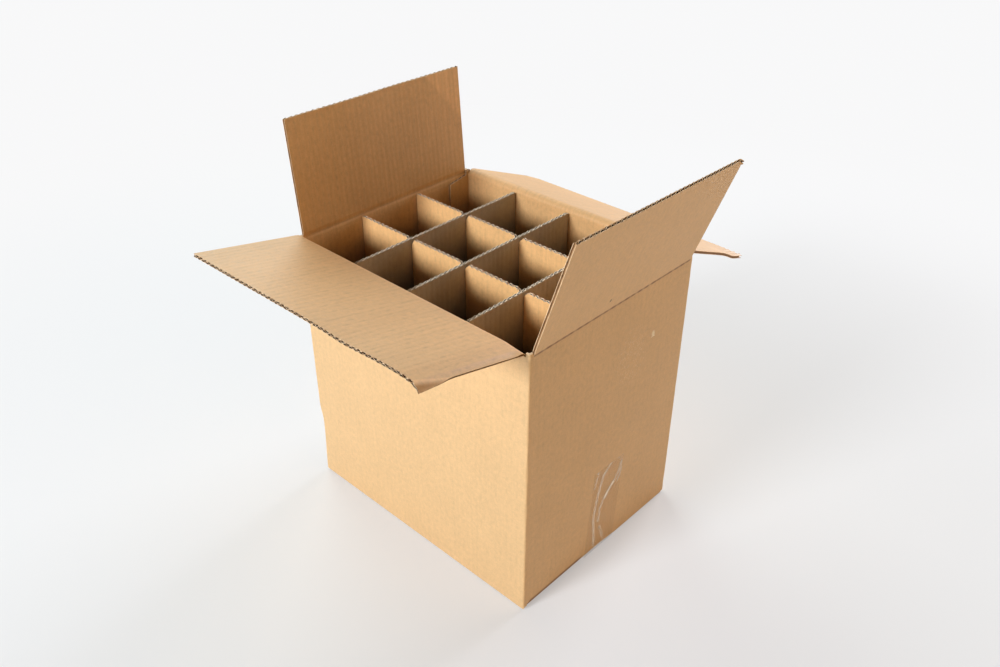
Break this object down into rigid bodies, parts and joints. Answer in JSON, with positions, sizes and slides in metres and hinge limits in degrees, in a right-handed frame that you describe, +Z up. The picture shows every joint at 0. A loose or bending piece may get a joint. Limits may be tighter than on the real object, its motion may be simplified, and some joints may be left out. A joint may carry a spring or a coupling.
{
  "type": "bottle shipping box",
  "caption": "Open slotted carton of corrugated board with hinged top flaps, a slotted divider grid for bottles and a taped bottom seam.",
  "frame": {"origin": "under the middle of the carton's base, on the plane that it stands on", "axes": "+X along the long side, +Y along the short side towards the rear, +Z up"},
  "size_m": [0.3603, 0.4676, 0.4251],
  "materials": {
    "carton_board": "matt kraft",
    "divider_board": "matt kraft",
    "clear_tape": "clear gloss film"
  },
  "bodies": {
    "carton": {"box_body": "carton_board", "cross_strip_left": "divider_board", "cross_strip_middle": "divider_board", "cross_strip_right": "divider_board", "long_strip_front": "divider_board", "long_strip_rear": "divider_board", "seam_tape": "clear_tape"},
    "front_flap": {"front_flap": "carton_board"},
    "rear_flap": {"rear_flap": "carton_board"},
    "left_flap": {"left_flap": "carton_board"},
    "right_flap": {"right_flap": "carton_board"}
  },
  "joints": [
    {"name": "front_fold", "type": "hinge", "parent": "carton", "child": "front_flap", "pos_m": [0, -0.12, 0.309], "axis": [1, 0, 0], "range_deg": [-168.5, 86.5]},
    {"name": "rear_fold", "type": "hinge", "parent": "carton", "child": "rear_flap", "pos_m": [0, 0.12, 0.309], "axis": [-1, 0, 0], "range_deg": [-204, 51]},
    {"name": "left_fold", "type": "hinge", "parent": "carton", "child": "left_flap", "pos_m": [-0.156, 0, 0.3057], "axis": [0, -1, 0], "range_deg": [-94.5, 160.5]},
    {"name": "right_fold", "type": "hinge", "parent": "carton", "child": "right_flap", "pos_m": [0.156, 0, 0.3057], "axis": [0, 1, 0], "range_deg": [-109, 146]}
  ]
}
